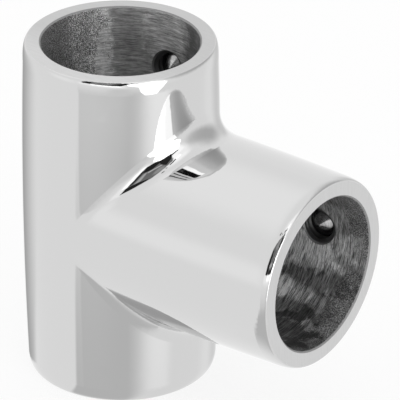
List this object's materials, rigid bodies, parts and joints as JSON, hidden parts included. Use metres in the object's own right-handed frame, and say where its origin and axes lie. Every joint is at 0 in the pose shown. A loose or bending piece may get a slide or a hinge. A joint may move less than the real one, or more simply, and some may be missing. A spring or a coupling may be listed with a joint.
{
  "type": "tube rail tee fitting",
  "caption": "Tee fitting for tube rails: a barrelled run with a through bore, a blended branch at 90 degrees, and a cone-point set screw in each socket.",
  "frame": {"origin": "where the axis of the run's bore and the axis of the branch's bore cross", "axes": "+Z along the run's bore, +X along the branch's bore towards its mouth, +Y towards the side that the set screws enter from"},
  "size_m": [0.0567, 0.0341, 0.058],
  "materials": {
    "polished_steel": "cast stainless steel, mirror polished outside, bored and left dull inside",
    "screw_steel": "turned stainless steel"
  },
  "bodies": {
    "tee": {"tee_body": "polished_steel"},
    "top_screw": {"top_set_screw": "screw_steel"},
    "bottom_screw": {"bottom_set_screw": "screw_steel"},
    "branch_screw": {"branch_set_screw": "screw_steel"}
  },
  "joints": [
    {"name": "top_screw_travel", "type": "slide", "parent": "tee", "child": "top_screw", "axis": [0, -1, 0], "range_m": [-0.001, 0.003]},
    {"name": "bottom_screw_travel", "type": "slide", "parent": "tee", "child": "bottom_screw", "axis": [0, -1, 0], "range_m": [-0.001, 0.003]},
    {"name": "branch_screw_travel", "type": "slide", "parent": "tee", "child": "branch_screw", "axis": [0, -1, 0], "range_m": [-0.001, 0.003]}
  ]
}
